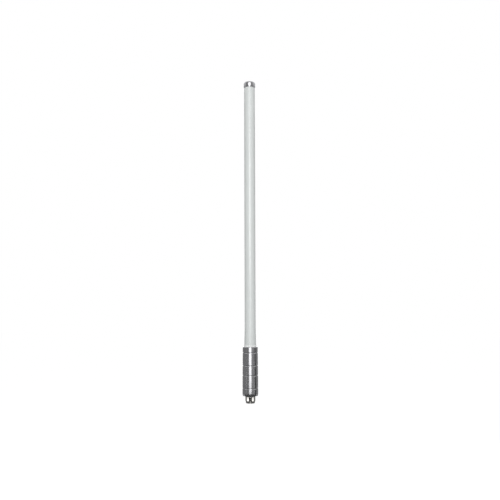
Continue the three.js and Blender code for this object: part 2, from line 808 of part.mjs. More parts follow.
function foamRing(holeRadius, middle) {
  return ring(
    holeRadius,
    foamRadius,
    middle - FOAM_DISC_THICKNESS / 2,
    middle + FOAM_DISC_THICKNESS / 2,
  );
}
place(
  fixed,
  "lower_spacer",
  foamRing(sleeveRadius + SLIP_GAP / 2, (sleeveBottom + sleeveTop) / 2),
  GREY_FOAM,
);
place(fixed, "middle_spacer", foamRing(rodHole, (lowerRodBottom + lowerRodTop) / 2), GREY_FOAM);
place(fixed, "upper_spacer", foamRing(rodHole, (upperRodBottom + upperRodTop) / 2), GREY_FOAM);
place(
  fixed,
  "top_damper",
  turned([
    [0, damperHoleTop],
    [rodHole, damperHoleTop],
    [rodHole, damperBottom],
    [foamRadius, damperBottom],
    [foamRadius, spigotBottom],
    [0, spigotBottom],
  ]),
  GREY_FOAM,
);

const antenna = new THREE.Group();
antenna.add(fixed, turning);
export default antenna;
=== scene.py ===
import json
import math

import bmesh
import bpy
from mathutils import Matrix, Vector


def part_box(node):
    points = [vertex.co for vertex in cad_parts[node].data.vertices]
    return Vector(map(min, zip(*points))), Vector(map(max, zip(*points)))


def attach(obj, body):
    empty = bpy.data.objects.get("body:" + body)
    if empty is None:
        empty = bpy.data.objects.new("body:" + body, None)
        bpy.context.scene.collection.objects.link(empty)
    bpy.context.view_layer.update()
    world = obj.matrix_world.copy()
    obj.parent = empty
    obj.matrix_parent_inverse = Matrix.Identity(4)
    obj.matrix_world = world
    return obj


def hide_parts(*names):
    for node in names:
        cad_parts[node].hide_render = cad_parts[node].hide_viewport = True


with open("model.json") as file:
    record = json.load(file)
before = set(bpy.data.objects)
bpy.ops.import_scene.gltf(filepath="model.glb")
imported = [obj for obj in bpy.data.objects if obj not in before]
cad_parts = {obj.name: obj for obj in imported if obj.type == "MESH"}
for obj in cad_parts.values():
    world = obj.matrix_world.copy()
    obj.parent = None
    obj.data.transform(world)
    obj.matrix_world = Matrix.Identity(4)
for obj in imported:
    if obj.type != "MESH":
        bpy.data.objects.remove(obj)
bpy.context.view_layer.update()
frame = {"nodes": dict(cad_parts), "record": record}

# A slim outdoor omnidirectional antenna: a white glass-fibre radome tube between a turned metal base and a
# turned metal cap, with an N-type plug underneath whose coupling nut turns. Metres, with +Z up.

scene = bpy.context.scene
scene.view_settings.view_transform = "Standard"

# Camera: in front of the antenna and low, so that the base is seen nearly level and the cap from below. A
# small tip upwards and a small shift frame the antenna as the photograph does, and leave it whole in the
# other views.
camera_distance = 1.2
camera_height = 0.1858
camera_aside = -0.0002
camera_tip = math.radians(3)
camera_roll = math.radians(0.17)
camera_sensor = 36
camera_lens = 45.144
camera_shift = 0.044
upright = math.radians(90)
camera_data = bpy.data.cameras.new("camera")
camera_data.sensor_width = camera_sensor
camera_data.lens = camera_lens
camera_data.shift_y = camera_shift
camera = bpy.data.objects.new("camera", camera_data)
camera.location = (camera_aside, -camera_distance, camera_height)
camera.rotation_euler = (upright + camera_tip, camera_roll, 0)
scene.collection.objects.link(camera)
scene.camera = camera

# Studio: a white backdrop, which lights the antenna at only half its own brightness, and a white floor well
# below the antenna, which hangs by its plug. The floor glows only for the rays that look at it, so that it
# stays white and still keeps the antenna's shadow.
white = (1, 1, 1, 1)
backdrop_level = 1
room_level = 0.5
floor_drop = 0.45
floor_reach = 12
floor_grey = 0.5
floor_glow = 0.75


def seen_directly(nodes, links):
    """1 on camera, glossy and transmission rays, which see the background itself."""
    path = nodes.new("ShaderNodeLightPath")
    camera_or_glossy = nodes.new("ShaderNodeMath")
    camera_or_glossy.operation = "MAXIMUM"
    links.new(path.outputs["Is Camera Ray"], camera_or_glossy.inputs[0])
    links.new(path.outputs["Is Glossy Ray"], camera_or_glossy.inputs[1])
    any_of_them = nodes.new("ShaderNodeMath")
    any_of_them.operation = "MAXIMUM"
    links.new(camera_or_glossy.outputs[0], any_of_them.inputs[0])
    links.new(path.outputs["Is Transmission Ray"], any_of_them.inputs[1])
    return any_of_them.outputs[0]


world = bpy.data.worlds.new("studio")
world.use_nodes = True
world_nodes = world.node_tree.nodes
world_links = world.node_tree.links
room_light = world_nodes["Background"]
room_light.inputs["Color"].default_value = white
room_light.inputs["Strength"].default_value = room_level
backdrop = world_nodes.new("ShaderNodeBackground")
backdrop.inputs["Color"].default_value = white
backdrop.inputs["Strength"].default_value = backdrop_level
backdrop_or_light = world_nodes.new("ShaderNodeMixShader")
world_links.new(seen_directly(world_nodes, world_links), backdrop_or_light.inputs[0])
world_links.new(room_light.outputs[0], backdrop_or_light.inputs[1])
world_links.new(backdrop.outputs[0], backdrop_or_light.inputs[2])
world_links.new(backdrop_or_light.outputs[0], world_nodes["World Output"].inputs["Surface"])
scene.world = world

floor_material = bpy.data.materials.new("floor")
floor_material.use_nodes = True
floor_nodes = floor_material.node_tree.nodes
floor_links = floor_material.node_tree.links
floor_nodes.remove(floor_nodes["Principled BSDF"])
floor_matt = floor_nodes.new("ShaderNodeBsdfDiffuse")
floor_matt.inputs["Color"].default_value = (floor_grey, floor_grey, floor_grey, 1)
floor_shine = floor_nodes.new("ShaderNodeEmission")
floor_shine_level = floor_nodes.new("ShaderNodeMath")
floor_shine_level.operation = "MULTIPLY"
floor_shine_level.inputs[1].default_value = floor_glow
floor_links.new(seen_directly(floor_nodes, floor_links), floor_shine_level.inputs[0])
floor_links.new(floor_shine_level.outputs[0], floor_shine.inputs["Strength"])
floor_sum = floor_nodes.new("ShaderNodeAddShader")
floor_links.new(floor_matt.outputs[0], floor_sum.inputs[0])
floor_links.new(floor_shine.outputs[0], floor_sum.inputs[1])
floor_links.new(floor_sum.outputs[0], floor_nodes["Material Output"].inputs["Surface"])

floor_mesh = bmesh.new()
bmesh.ops.create_grid(floor_mesh, x_segments=1, y_segments=1, size=floor_reach)
bmesh.ops.translate(floor_mesh, verts=floor_mesh.verts, vec=(0, 0, -floor_drop))
floor_data = bpy.data.meshes.new("floor")
floor_mesh.to_mesh(floor_data)
floor_mesh.free()
floor = bpy.data.objects.new("floor", floor_data)
floor_data.materials.append(floor_material)
scene.collection.objects.link(floor)

# Lamps: a large soft box in front draws the white line down the metal and the tube, with a brighter core for
# the tube's middle and a wide box above for its top and the cap. Two small low lamps light the flats of the
# nut, and a strip and a wide box behind the antenna light its back.
def soft_box(name, turn, distance, width, height, middle, radiance):
    """A flat upright lamp that faces the antenna, turned so many degrees to the right of the camera."""
    lamp_data = bpy.data.lights.new(name, "AREA")
    lamp_data.shape = "RECTANGLE"
    lamp_data.size = width
    lamp_data.size_y = height
    lamp_data.energy = radiance * math.pi * width * height
    lamp = bpy.data.objects.new(name, lamp_data)
    side = math.radians(turn)
    lamp.location = (distance * math.sin(side), -distance * math.cos(side), middle)
    lamp.rotation_euler = (upright, 0, side)
    scene.collection.objects.link(lamp)


soft_box("softbox", turn=-1.1, distance=1.35, width=0.83, height=1.22, middle=0.265, radiance=1.42)
soft_box("softbox_top", turn=0, distance=1.35, width=1.3, height=0.36, middle=1.09, radiance=1.8)
soft_box("softbox_core", turn=1, distance=1.3, width=0.36, height=0.48, middle=0.566, radiance=8.5)
soft_box("left_flat_lamp", turn=-60, distance=1, width=0.12, height=0.06, middle=-0.164, radiance=2.2)
soft_box("right_flat_lamp", turn=60, distance=1, width=0.12, height=0.06, middle=-0.164, radiance=1.9)
soft_box("back_strip", turn=180, distance=1.45, width=0.5, height=1.5, middle=0.3, radiance=2.4)
soft_box("back_fill", turn=180, distance=1.8, width=1.8, height=1.5, middle=0.3, radiance=1.2)

# Cards and flags, which only reflections meet: grey cards at both sides and behind keep the metal's sides
# grey. Black flags darken the base's foot, the nut's middle and a band at the right, and two round cards on
# the floor set the tone of the nut's lower edge.
card_grey = 0.3
card_pale = 0.42
floor_card_grey = 0.17
floor_patch_grey = 0.55
flag_black = 0.04
card_distance = 1.5
card_bottom = 0.001 - floor_drop
card_middle = 1.1
card_top = 2.4
card_steps = 12
round_card_sides = 48


def card_cloth(name, grey):
    """Cloth that shows as one even grey."""
    cloth = bpy.data.materials.new(name)
    cloth.use_nodes = True
    cloth_nodes = cloth.node_tree.nodes
    cloth_nodes.remove(cloth_nodes["Principled BSDF"])
    even_grey = cloth_nodes.new("ShaderNodeEmission")
    even_grey.inputs["Color"].default_value = (grey, grey, grey, 1)
    cloth.node_tree.links.new(even_grey.outputs[0], cloth_nodes["Material Output"].inputs["Surface"])
    return cloth


grey_cloth = card_cloth("grey_cloth", card_grey)
pale_cloth = card_cloth("pale_cloth", card_pale)
floor_cloth = card_cloth("floor_cloth", floor_card_grey)
patch_cloth = card_cloth("patch_cloth", floor_patch_grey)
black_cloth = card_cloth("black_cloth", flag_black)


def screen(name, mesh, cloth):
    """A stage object that only reflections meet."""
    mesh_data = bpy.data.meshes.new(name)
    mesh.to_mesh(mesh_data)
    mesh.free()
    mesh_data.materials.append(cloth)
    card = bpy.data.objects.new(name, mesh_data)
    card.visible_camera = False
    card.visible_diffuse = False
    card.visible_shadow = False
    scene.collection.objects.link(card)


def bent_card(name, cloth, distance, start, end, bottom, top):
    """A card bent round the antenna between two directions, in degrees to the right of the camera."""
    bent = bmesh.new()
    edge = math.radians(start)
    first = bent.verts.new((distance * math.sin(edge), -distance * math.cos(edge), bottom))
    bmesh.ops.spin(
        bent,
        geom=[first],
        cent=(0, 0, 0),
        axis=(0, 0, 1),
        dvec=(0, 0, 0),
        angle=math.radians(end - start),
        steps=card_steps,
        use_merge=False,
        use_duplicate=False,
    )
    raised = bmesh.ops.extrude_edge_only(bent, edges=bent.edges[:])["geom"]
    raised_points = [part for part in raised if isinstance(part, bmesh.types.BMVert)]
    bmesh.ops.translate(bent, verts=raised_points, vec=(0, 0, top - bottom))
    screen(name, bent, cloth)


for name, cloth, start, end, bottom, top in (
    ("card_left", grey_cloth, -84, -17, card_bottom, card_middle),
    ("card_left_top", grey_cloth, -72, -17, card_middle, card_top),
    ("card_right", pale_cloth, 17, 52, card_bottom, card_top),
    ("card_far_right", grey_cloth, 52, 84, card_bottom, card_middle),
    ("card_right_top", grey_cloth, 52, 68, card_middle, card_top),
):
    bent_card(name, cloth, card_distance, start, end, bottom, top)
bent_card("card_behind", grey_cloth, distance=1.52, start=83, end=277, bottom=card_bottom, top=card_middle)
bent_card("flag_below", black_cloth, distance=0.6, start=-32, end=32, bottom=-0.345, top=-0.063)
bent_card("flag_foot", black_cloth, distance=0.62, start=-90, end=90, bottom=-0.345, top=-0.165)
bent_card("flag_side", black_cloth, distance=1.1, start=72, end=95, bottom=card_bottom, top=0.037)


def flat_card(name, cloth, forward, radius, lift):
    """A round card just above the floor, its middle so far in front of the antenna."""
    disc = bmesh.new()
    bmesh.ops.create_circle(disc, cap_ends=True, segments=round_card_sides, radius=radius)
    bmesh.ops.translate(disc, verts=disc.verts, vec=(0, -forward, lift - floor_drop))
    screen(name, disc, cloth)


flat_card("floor_card", floor_cloth, forward=0, radius=1.3, lift=0.005)
flat_card("floor_patch", patch_cloth, forward=0.53, radius=0.14, lift=0.01)

# Base: a sleeve turned from aluminium bar and left as it comes off the lathe, a little wider at its foot.
# Four grooves part its outside into five bands. The tube stands in its bore inside two seal rings, and the
# plug is clamped in its floor.
base_low, base_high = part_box("base_housing")
base_foot_chamfer = (0.0006, 0.0042)
base_mouth_radius = 0.0143
base_bands = (0.0131, 0.02205, 0.0164, 0.02205)
base_groove_width = 0.0022
base_groove_depth = 0.0008
base_groove_slope = 0.0016
base_groove_steps = 5
base_top_rounding = 0.0015
base_edge = 0.0003
base_sides = 160
slip_gap = 0.0001
plug_rear_radius = 0.0055
flange_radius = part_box("plug_body")[1].x + slip_gap
flange_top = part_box("plug_o_ring")[1].z
base_floor_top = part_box("lock_washer")[0].z
tube_low, tube_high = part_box("radome_tube")
tube_radius = tube_high.x
tube_wall = 0.0016
tube_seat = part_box("tube_seat_ring")[0].z
seal_groove_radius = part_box("lower_tube_o_ring")[1].x
rounding_step = 0.00025
fewest_rounding_steps = 4
round_profile = 0.5
weld_distance = 1e-6


def spin_round(mesh, sides):
    """Turn the outline in the mesh all the way round the Z axis."""
    bmesh.ops.spin(
        mesh,
        geom=mesh.verts[:] + mesh.edges[:],
        cent=(0, 0, 0),
        axis=(0, 0, 1),
        dvec=(0, 0, 0),
        angle=math.tau,
        steps=sides,
        use_merge=True,
        use_duplicate=False,
    )
    bmesh.ops.remove_doubles(mesh, verts=mesh.verts, dist=weld_distance)


def turned(name, outline, sides=128):
    """An object turned round the Z axis from corners of (radius, height, rounding), as cut on a lathe."""
    profile = bmesh.new()
    corners = [profile.verts.new((radius, 0, height)) for radius, height, rounding in outline]
    for start, end in zip(corners, corners[1:]):
        profile.edges.new((start, end))
    if outline[0][0] > 0:
        profile.edges.new((corners[-1], corners[0]))
    roundings = [rounding for radius, height, rounding in outline]
    for size in sorted(set(roundings) - {0}):
        bmesh.ops.bevel(
            profile,
            geom=[corner for corner, rounding in zip(corners, roundings) if rounding == size],
            offset=size,
            offset_type="OFFSET",
            segments=max(fewest_rounding_steps, round(size / rounding_step)),
            profile=round_profile,
            affect="VERTICES",
            material=-1,
        )
    spin_round(profile, sides)
    bmesh.ops.recalc_face_normals(profile, faces=profile.faces)
    return finished_object(name, profile)


def finished_object(name, mesh, sharp_from=35):
    """The object of a finished mesh, smooth except where it turns by more than the angle."""
    data = bpy.data.meshes.new(name)
    mesh.to_mesh(data)
    mesh.free()
    data.polygons.foreach_set("use_smooth", [True] * len(data.polygons))
    data.set_sharp_from_angle(angle=math.radians(sharp_from))
    piece = bpy.data.objects.new(name, data)
    scene.collection.objects.link(piece)
    weighted = piece.modifiers.new("flat_faces_stay_flat", "WEIGHTED_NORMAL")
    weighted.keep_sharp = True
    return piece


def base_outline():
    """The base's section: up its outside over the foot, bands and grooves, and down its bore."""
    widest = base_low.z + base_foot_chamfer[1]
    taper = (base_high.x - base_mouth_radius) / (base_high.z - widest)

    def radius_at(height):
        return base_high.x - taper * (height - widest)

    bore = tube_radius + slip_gap
    outline = [
        (flange_radius, base_low.z, 0),
        (radius_at(base_low.z) - base_foot_chamfer[0], base_low.z, base_edge),
        (base_high.x, widest, base_edge),
    ]
    height = base_low.z
    for band in base_bands:
        middle = height + band + base_groove_width / 2
        for step in range(base_groove_steps):
            share = step / base_groove_steps
            level = middle - base_groove_slope * (1 - share)
            depth = base_groove_depth * (1 - math.cos(math.pi * share)) / 2
            outline.append((radius_at(level) - depth, level, 0))
        for step in range(base_groove_steps + 1):
            turn = math.pi / 2 * step / base_groove_steps
            level = middle + base_groove_width / 2 * math.sin(turn)
            outline.append((radius_at(level) - base_groove_depth * math.cos(turn), level, 0))
        height += band + base_groove_width
    outline += [
        (base_mouth_radius, base_high.z, base_top_rounding),
        (bore, base_high.z, base_edge),
    ]
    for seal in ("upper_tube_o_ring", "lower_tube_o_ring"):
        seal_low, seal_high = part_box(seal)
        outline += [
            (bore, seal_high.z, 0),
            (seal_groove_radius, seal_high.z, 0),
            (seal_groove_radius, seal_low.z, 0),
            (bore, seal_low.z, 0),
        ]
    return outline + [
        (bore, tube_seat, 0),
        (tube_radius - tube_wall, tube_seat, 0),
        (tube_radius - tube_wall, base_floor_top, 0),
        (plug_rear_radius + slip_gap, base_floor_top, 0),
        (plug_rear_radius + slip_gap, flange_top, 0),
        (flange_radius, flange_top, 0),
    ]


base = turned("base", base_outline(), sides=base_sides)
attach(base, "antenna")
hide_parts("base_housing")

# Lathe marks: the tool leaves rings of its own pitch round every turned piece, so their pattern changes only
# along the axis. Slow smudges of handling lie over them. The group gives the rings, the smudges and the
# bumped normal.
ring_detail = 3
ring_harshness = 0.7
ring_height = 0.00003
smudges_per_metre = 60
smudge_detail = 4
smudge_harshness = 0.55


def surface_group(name, inputs, outputs):
    """A node group with sockets of the given names and kinds, its input node and its output node."""
    group = bpy.data.node_groups.new(name, "ShaderNodeTree")
    for direction, sockets in (("INPUT", inputs), ("OUTPUT", outputs)):
        for socket_name, kind in sockets.items():
            group.interface.new_socket(socket_name, in_out=direction, socket_type="NodeSocket" + kind)
    return group, group.nodes.new("NodeGroupInput"), group.nodes.new("NodeGroupOutput")


lathe_marks, mark_in, mark_out = surface_group(
    "lathe_marks",
    inputs={"Rings per metre": "Float", "Ring depth": "Float"},
    outputs={"Rings": "Float", "Smudges": "Float", "Normal": "Vector"},
)
mark_nodes = lathe_marks.nodes
mark_links = lathe_marks.links
mark_place = mark_nodes.new("ShaderNodeTexCoord")
mark_height = mark_nodes.new("ShaderNodeSeparateXYZ")
mark_links.new(mark_place.outputs["Object"], mark_height.inputs[0])
ring_noise = mark_nodes.new("ShaderNodeTexNoise")
ring_noise.noise_dimensions = "1D"
ring_noise.inputs["Detail"].default_value = ring_detail
ring_noise.inputs["Roughness"].default_value = ring_harshness
mark_links.new(mark_height.outputs["Z"], ring_noise.inputs["W"])
mark_links.new(mark_in.outputs["Rings per metre"], ring_noise.inputs["Scale"])
smudge_noise = mark_nodes.new("ShaderNodeTexNoise")
smudge_noise.inputs["Scale"].default_value = smudges_per_metre
smudge_noise.inputs["Detail"].default_value = smudge_detail
smudge_noise.inputs["Roughness"].default_value = smudge_harshness
mark_links.new(mark_place.outputs["Object"], smudge_noise.inputs["Vector"])
mark_bump = mark_nodes.new("ShaderNodeBump")
mark_bump.inputs["Distance"].default_value = ring_height
mark_links.new(mark_in.outputs["Ring depth"], mark_bump.inputs["Strength"])
mark_links.new(ring_noise.outputs["Fac"], mark_bump.inputs["Height"])
mark_links.new(ring_noise.outputs["Fac"], mark_out.inputs["Rings"])
mark_links.new(smudge_noise.outputs["Fac"], mark_out.inputs["Smudges"])
mark_links.new(mark_bump.outputs["Normal"], mark_out.inputs["Normal"])
noise_low = 0.3
noise_high = 0.7


def spread(nodes, links, value, low, high):
    """A noise, which lies mostly between its low and high values, spread out over the given range."""
    ranged = nodes.new("ShaderNodeMapRange")
    ranged.inputs["From Min"].default_value = noise_low
    ranged.inputs["From Max"].default_value = noise_high
    ranged.inputs["To Min"].default_value = low
    ranged.inputs["To Max"].default_value = high
    links.new(value, ranged.inputs["Value"])
    return ranged.outputs["Result"]


def blended(nodes, links, amount, first, second):
    """A colour between two, by an amount from 0 to 1."""
    mix = nodes.new("ShaderNodeMix")
    mix.data_type = "RGBA"
    mix.inputs["A"].default_value = (*first, 1)
    mix.inputs["B"].default_value = (*second, 1)
    links.new(amount, mix.inputs["Factor"])
    return mix.outputs["Result"]


quarter_turn = 0.25
ring_share = 0.5


def turned_metal(name, bright, dull, roughness, rings, ring_depth, stretch=0.0):
    """Metal with lathe marks: its colour runs from bright to dull, and its roughness over the given range.
    Stretch draws its highlights out along the axis, as marks too fine to see do."""
    material = bpy.data.materials.new(name)
    material.use_nodes = True
    nodes = material.node_tree.nodes
    links = material.node_tree.links
    shader = nodes["Principled BSDF"]
    shader.inputs["Metallic"].default_value = 1
    if stretch:
        around = nodes.new("ShaderNodeTangent")
        around.direction_type = "RADIAL"
        around.axis = "Z"
        shader.inputs["Anisotropic"].default_value = stretch
        shader.inputs["Anisotropic Rotation"].default_value = quarter_turn
        links.new(around.outputs[0], shader.inputs["Tangent"])
    marks = nodes.new("ShaderNodeGroup")
    marks.node_tree = lathe_marks
    marks.inputs["Rings per metre"].default_value = rings
    marks.inputs["Ring depth"].default_value = ring_depth
    both = nodes.new("ShaderNodeMath")
    both.operation = "MULTIPLY_ADD"
    both.inputs[1].default_value = ring_share
    links.new(marks.outputs["Rings"], both.inputs[0])
    smudge_part = nodes.new("ShaderNodeMath")
    smudge_part.operation = "MULTIPLY"
    smudge_part.inputs[1].default_value = 1 - ring_share
    links.new(marks.outputs["Smudges"], smudge_part.inputs[0])
    links.new(smudge_part.outputs[0], both.inputs[2])
    tone = spread(nodes, links, both.outputs[0], 0, 1)
    links.new(blended(nodes, links, tone, bright, dull), shader.inputs["Base Color"])
    links.new(spread(nodes, links, both.outputs[0], *roughness), shader.inputs["Roughness"])
    links.new(marks.outputs["Normal"], shader.inputs["Normal"])
    return material


base_metal = turned_metal(
    "base_metal",
    bright=(0.51, 0.51, 0.52),
    dull=(0.42, 0.42, 0.44),
    roughness=(0.2, 0.26),
    rings=2600,
    ring_depth=0.4,
    stretch=0.4,
)
base.data.materials.append(base_metal)

# Radome: a pulled glass-fibre tube with an off-white gel coat. It is smooth and a little glossy, with the
# faint lengthwise waves of its fibres under the coat, and it is open at both ends, under the cap and in the
# base.
tube_end_rounding = 0.0003
radome = turned(
    "radome",
    [
        (tube_radius - tube_wall, tube_low.z, tube_end_rounding),
        (tube_radius, tube_low.z, tube_end_rounding),
        (tube_radius, tube_high.z, tube_end_rounding),
        (tube_radius - tube_wall, tube_high.z, tube_end_rounding),
    ],
)
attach(radome, "antenna")
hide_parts("radome_tube")

# Grain of pulled, moulded and poured stock: fine waves over slow clouds of tone. On the pulled tube the waves
# are drawn out along its length. The group gives the grain, the clouds and the bumped normal.
grain_detail = 5
grain_strength = 0.6
waves_in_cloud = 12
cloud_detail = 2
stock_grain, grain_in, grain_out = surface_group(
    "stock_grain",
    inputs={"Waves per metre": "Float", "Grain squeeze": "Vector", "Depth": "Float"},
    outputs={"Grain": "Float", "Clouds": "Float", "Normal": "Vector"},
)
grain_nodes = stock_grain.nodes
grain_links = stock_grain.links
grain_place = grain_nodes.new("ShaderNodeTexCoord")
grain_squeezed = grain_nodes.new("ShaderNodeMapping")
grain_links.new(grain_place.outputs["Object"], grain_squeezed.inputs["Vector"])
grain_links.new(grain_in.outputs["Grain squeeze"], grain_squeezed.inputs["Scale"])
grain_noise = grain_nodes.new("ShaderNodeTexNoise")
grain_noise.inputs["Detail"].default_value = grain_detail
grain_links.new(grain_squeezed.outputs["Vector"], grain_noise.inputs["Vector"])
grain_links.new(grain_in.outputs["Waves per metre"], grain_noise.inputs["Scale"])
cloud_scale = grain_nodes.new("ShaderNodeMath")
cloud_scale.operation = "DIVIDE"
cloud_scale.inputs[1].default_value = waves_in_cloud
grain_links.new(grain_in.outputs["Waves per metre"], cloud_scale.inputs[0])
cloud_noise = grain_nodes.new("ShaderNodeTexNoise")
cloud_noise.inputs["Detail"].default_value = cloud_detail
grain_links.new(grain_place.outputs["Object"], cloud_noise.inputs["Vector"])
grain_links.new(cloud_scale.outputs[0], cloud_noise.inputs["Scale"])
grain_bump = grain_nodes.new("ShaderNodeBump")
grain_bump.inputs["Strength"].default_value = grain_strength
grain_links.new(grain_in.outputs["Depth"], grain_bump.inputs["Distance"])
grain_links.new(grain_noise.outputs["Fac"], grain_bump.inputs["Height"])
grain_links.new(grain_noise.outputs["Fac"], grain_out.inputs["Grain"])
grain_links.new(cloud_noise.outputs["Fac"], grain_out.inputs["Clouds"])
grain_links.new(grain_bump.outputs["Normal"], grain_out.inputs["Normal"])


def coated_plastic(name, colour, stain, roughness, coarse, stretch, depth):
    """Coat, plastic, rubber or foam. Its grain has so many coarse waves to a metre, drawn out along Z."""
    material = bpy.data.materials.new(name)
    material.use_nodes = True
    nodes = material.node_tree.nodes
    links = material.node_tree.links
    shader = nodes["Principled BSDF"]
    surface = nodes.new("ShaderNodeGroup")
    surface.node_tree = stock_grain
    surface.inputs["Waves per metre"].default_value = coarse
    surface.inputs["Grain squeeze"].default_value = (1, 1, 1 / stretch)
    surface.inputs["Depth"].default_value = depth
    tone = spread(nodes, links, surface.outputs["Clouds"], 0, 1)
    links.new(blended(nodes, links, tone, colour, stain), shader.inputs["Base Color"])
    links.new(spread(nodes, links, surface.outputs["Grain"], *roughness), shader.inputs["Roughness"])
    links.new(surface.outputs["Normal"], shader.inputs["Normal"])
    return material


gel_coat = coated_plastic(
    "gel_coat",
    colour=(0.73, 0.76, 0.75),
    stain=(0.71, 0.74, 0.73),
    roughness=(0.22, 0.28),
    coarse=900,
    stretch=40,
    depth=0.00002,
)
radome.data.materials.append(gel_coat)

# Sealing bead: white sealant rolled round the tube where it enters the base. It has a lip on the base's top
# face and a thin skirt that was drawn up the tube and tapers out. The skirt has the tube's tone. The lip is
# painted whiter: partly the thick sealant's own white, partly a painted highlight of the light its rounded
# top catches.
bead_low, bead_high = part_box("sealing_bead")
bead_gap = 0.00003
bead_inside = tube_radius + bead_gap
bead_lip_top = bead_low.z + 0.0026
bead_lip_fall = 0.0003
bead_lip_foot_rounding = 0.0005
bead_lip_rounding = 0.0007
bead_neck = 0.0007
bead_neck_rounding = 0.0003
bead_tip = 0.00005
bead_white_below = bead_low.z + 0.00182
bead_grey_above = bead_low.z + 0.00364
bead = turned(
    "bead",
    [
        (bead_inside, bead_low.z, 0),
        (bead_high.x, bead_low.z, bead_lip_foot_rounding),
        (bead_high.x, bead_lip_top - bead_lip_fall, bead_lip_rounding),
        (bead_inside + bead_neck, bead_lip_top, bead_neck_rounding),
        (bead_inside + bead_tip, bead_high.z, 0),
        (bead_inside, bead_high.z, 0),
    ],
)
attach(bead, "antenna")
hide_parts("sealing_bead")
sealant_white_and_highlight = (0.9, 0.91, 0.9)
sealant = coated_plastic(
    "sealant",
    colour=(0.72, 0.75, 0.74),
    stain=(0.7, 0.73, 0.72),
    roughness=(0.26, 0.36),
    coarse=700,
    stretch=1,
    depth=0.00005,
)
sealant_nodes = sealant.node_tree.nodes
sealant_links = sealant.node_tree.links
sealant_colour = sealant_nodes["Principled BSDF"].inputs["Base Color"]
sealant_place = sealant_nodes.new("ShaderNodeTexCoord")
sealant_height = sealant_nodes.new("ShaderNodeSeparateXYZ")
sealant_links.new(sealant_place.outputs["Object"], sealant_height.inputs[0])
# Low on the bead the colour turns whiter. This is partly the thick lip's own white and partly a painted
# highlight on its rounded top.
thickness_and_highlight = sealant_nodes.new("ShaderNodeMapRange")
thickness_and_highlight.inputs["From Min"].default_value = bead_grey_above
thickness_and_highlight.inputs["From Max"].default_value = bead_white_below
sealant_links.new(sealant_height.outputs["Z"], thickness_and_highlight.inputs["Value"])
lip_or_skirt = sealant_nodes.new("ShaderNodeMix")
lip_or_skirt.data_type = "RGBA"
sealant_links.new(thickness_and_highlight.outputs["Result"], lip_or_skirt.inputs["Factor"])
sealant_links.new(sealant_colour.links[0].from_socket, lip_or_skirt.inputs["A"])
lip_or_skirt.inputs["B"].default_value = (*sealant_white_and_highlight, 1)
sealant_links.new(lip_or_skirt.outputs["Result"], sealant_colour)
bead.data.materials.append(sealant)

# Cap: a plug turned from the same aluminium bar and polished. Its head closes the tube's end, with a ring
# groove round it and a rounded top edge, and its spigot holds a seal inside the tube.
cap_low, cap_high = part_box("top_cap")
cap_radius = cap_high.x
cap_top_rounding = 0.004
cap_groove_width = 0.001
cap_groove_floor = cap_radius - 0.0005
cap_groove_middle = tube_high.z + 0.0018
cap_groove_low = cap_groove_middle - cap_groove_width / 2
cap_groove_high = cap_groove_middle + cap_groove_width / 2
cap_edge = 0.00025
spigot_radius = tube_radius - tube_wall - slip_gap
cap_seal_low, cap_seal_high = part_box("cap_o_ring")
cap_seal_floor = spigot_radius - 0.0018
cap = turned(
    "cap",
    [
        (0, cap_low.z, 0),
        (spigot_radius, cap_low.z, cap_edge),
        (spigot_radius, cap_seal_low.z, 0),
        (cap_seal_floor, cap_seal_low.z, 0),
        (cap_seal_floor, cap_seal_high.z, 0),
        (spigot_radius, cap_seal_high.z, 0),
        (spigot_radius, tube_high.z, 0),
        (cap_radius, tube_high.z, cap_edge),
        (cap_radius, cap_groove_low, cap_edge),
        (cap_groove_floor, cap_groove_low, cap_edge),
        (cap_groove_floor, cap_groove_high, cap_edge),
        (cap_radius, cap_groove_high, cap_edge),
        (cap_radius, cap_high.z, cap_top_rounding),
        (0, cap_high.z, 0),
    ],
)
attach(cap, "antenna")
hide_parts("top_cap")
cap_metal = turned_metal(
    "cap_metal",
    bright=(0.5, 0.5, 0.51),
    dull=(0.4, 0.4, 0.42),
    roughness=(0.16, 0.24),
    rings=3200,
    ring_depth=0.25,
)
cap.data.materials.append(cap_metal)

# Coupling nut: a round brass nut, nickel-plated, with six flats milled on it for a 19 mm spanner. It is
# chamfered in front and behind, and closed in at the back to the plug's shank that it turns on.
nut_low, nut_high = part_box("coupling_nut")
nut_radius = 0.0097
nut_across_flats = 0.019
nut_flats = 6
nut_front_chamfer = (0.0014, 0.0049)
nut_rear_chamfer = (0.001, 0.0014)
nut_mouth_chamfer = (0.0002, 0.0004)
nut_thread_root = 0.00794
nut_bore_depth = 0.0082
nut_rear_bore = 0.0065
nut_edge = 0.00015
nut_edge_steps = 2
nut_sharp_from = 12
nut_edge_from = 14
nut_sides = 144
cut_tolerance = 1e-7
nut_mesh = bmesh.new()
nut_outline = [
    (nut_thread_root + nut_mouth_chamfer[0], nut_low.z),
    (nut_radius - nut_front_chamfer[0], nut_low.z),
    (nut_radius, nut_low.z + nut_front_chamfer[1]),
    (nut_radius, nut_high.z - nut_rear_chamfer[1]),
    (nut_radius - nut_rear_chamfer[0], nut_high.z),
    (nut_rear_bore, nut_high.z),
    (nut_rear_bore, nut_bore_depth),
    (nut_thread_root, nut_bore_depth),
    (nut_thread_root, nut_low.z + nut_mouth_chamfer[1]),
]
nut_corners = [nut_mesh.verts.new((radius, 0, height)) for radius, height in nut_outline]
for start, end in zip(nut_corners, nut_corners[1:] + nut_corners[:1]):
    nut_mesh.edges.new((start, end))
spin_round(nut_mesh, nut_sides)
for flat in range(nut_flats):
    facing = math.tau * (flat + 0.5) / nut_flats + math.pi / 2
    outwards = (math.cos(facing), math.sin(facing), 0)
    bmesh.ops.bisect_plane(
        nut_mesh,
        geom=nut_mesh.verts[:] + nut_mesh.edges[:] + nut_mesh.faces[:],
        dist=cut_tolerance,
        plane_co=[nut_across_flats / 2 * part for part in outwards],
        plane_no=outwards,
        clear_outer=True,
        clear_inner=False,
    )
    cut_edges = [edge for edge in nut_mesh.edges if edge.is_boundary]
    bmesh.ops.holes_fill(nut_mesh, edges=cut_edges, sides=0)
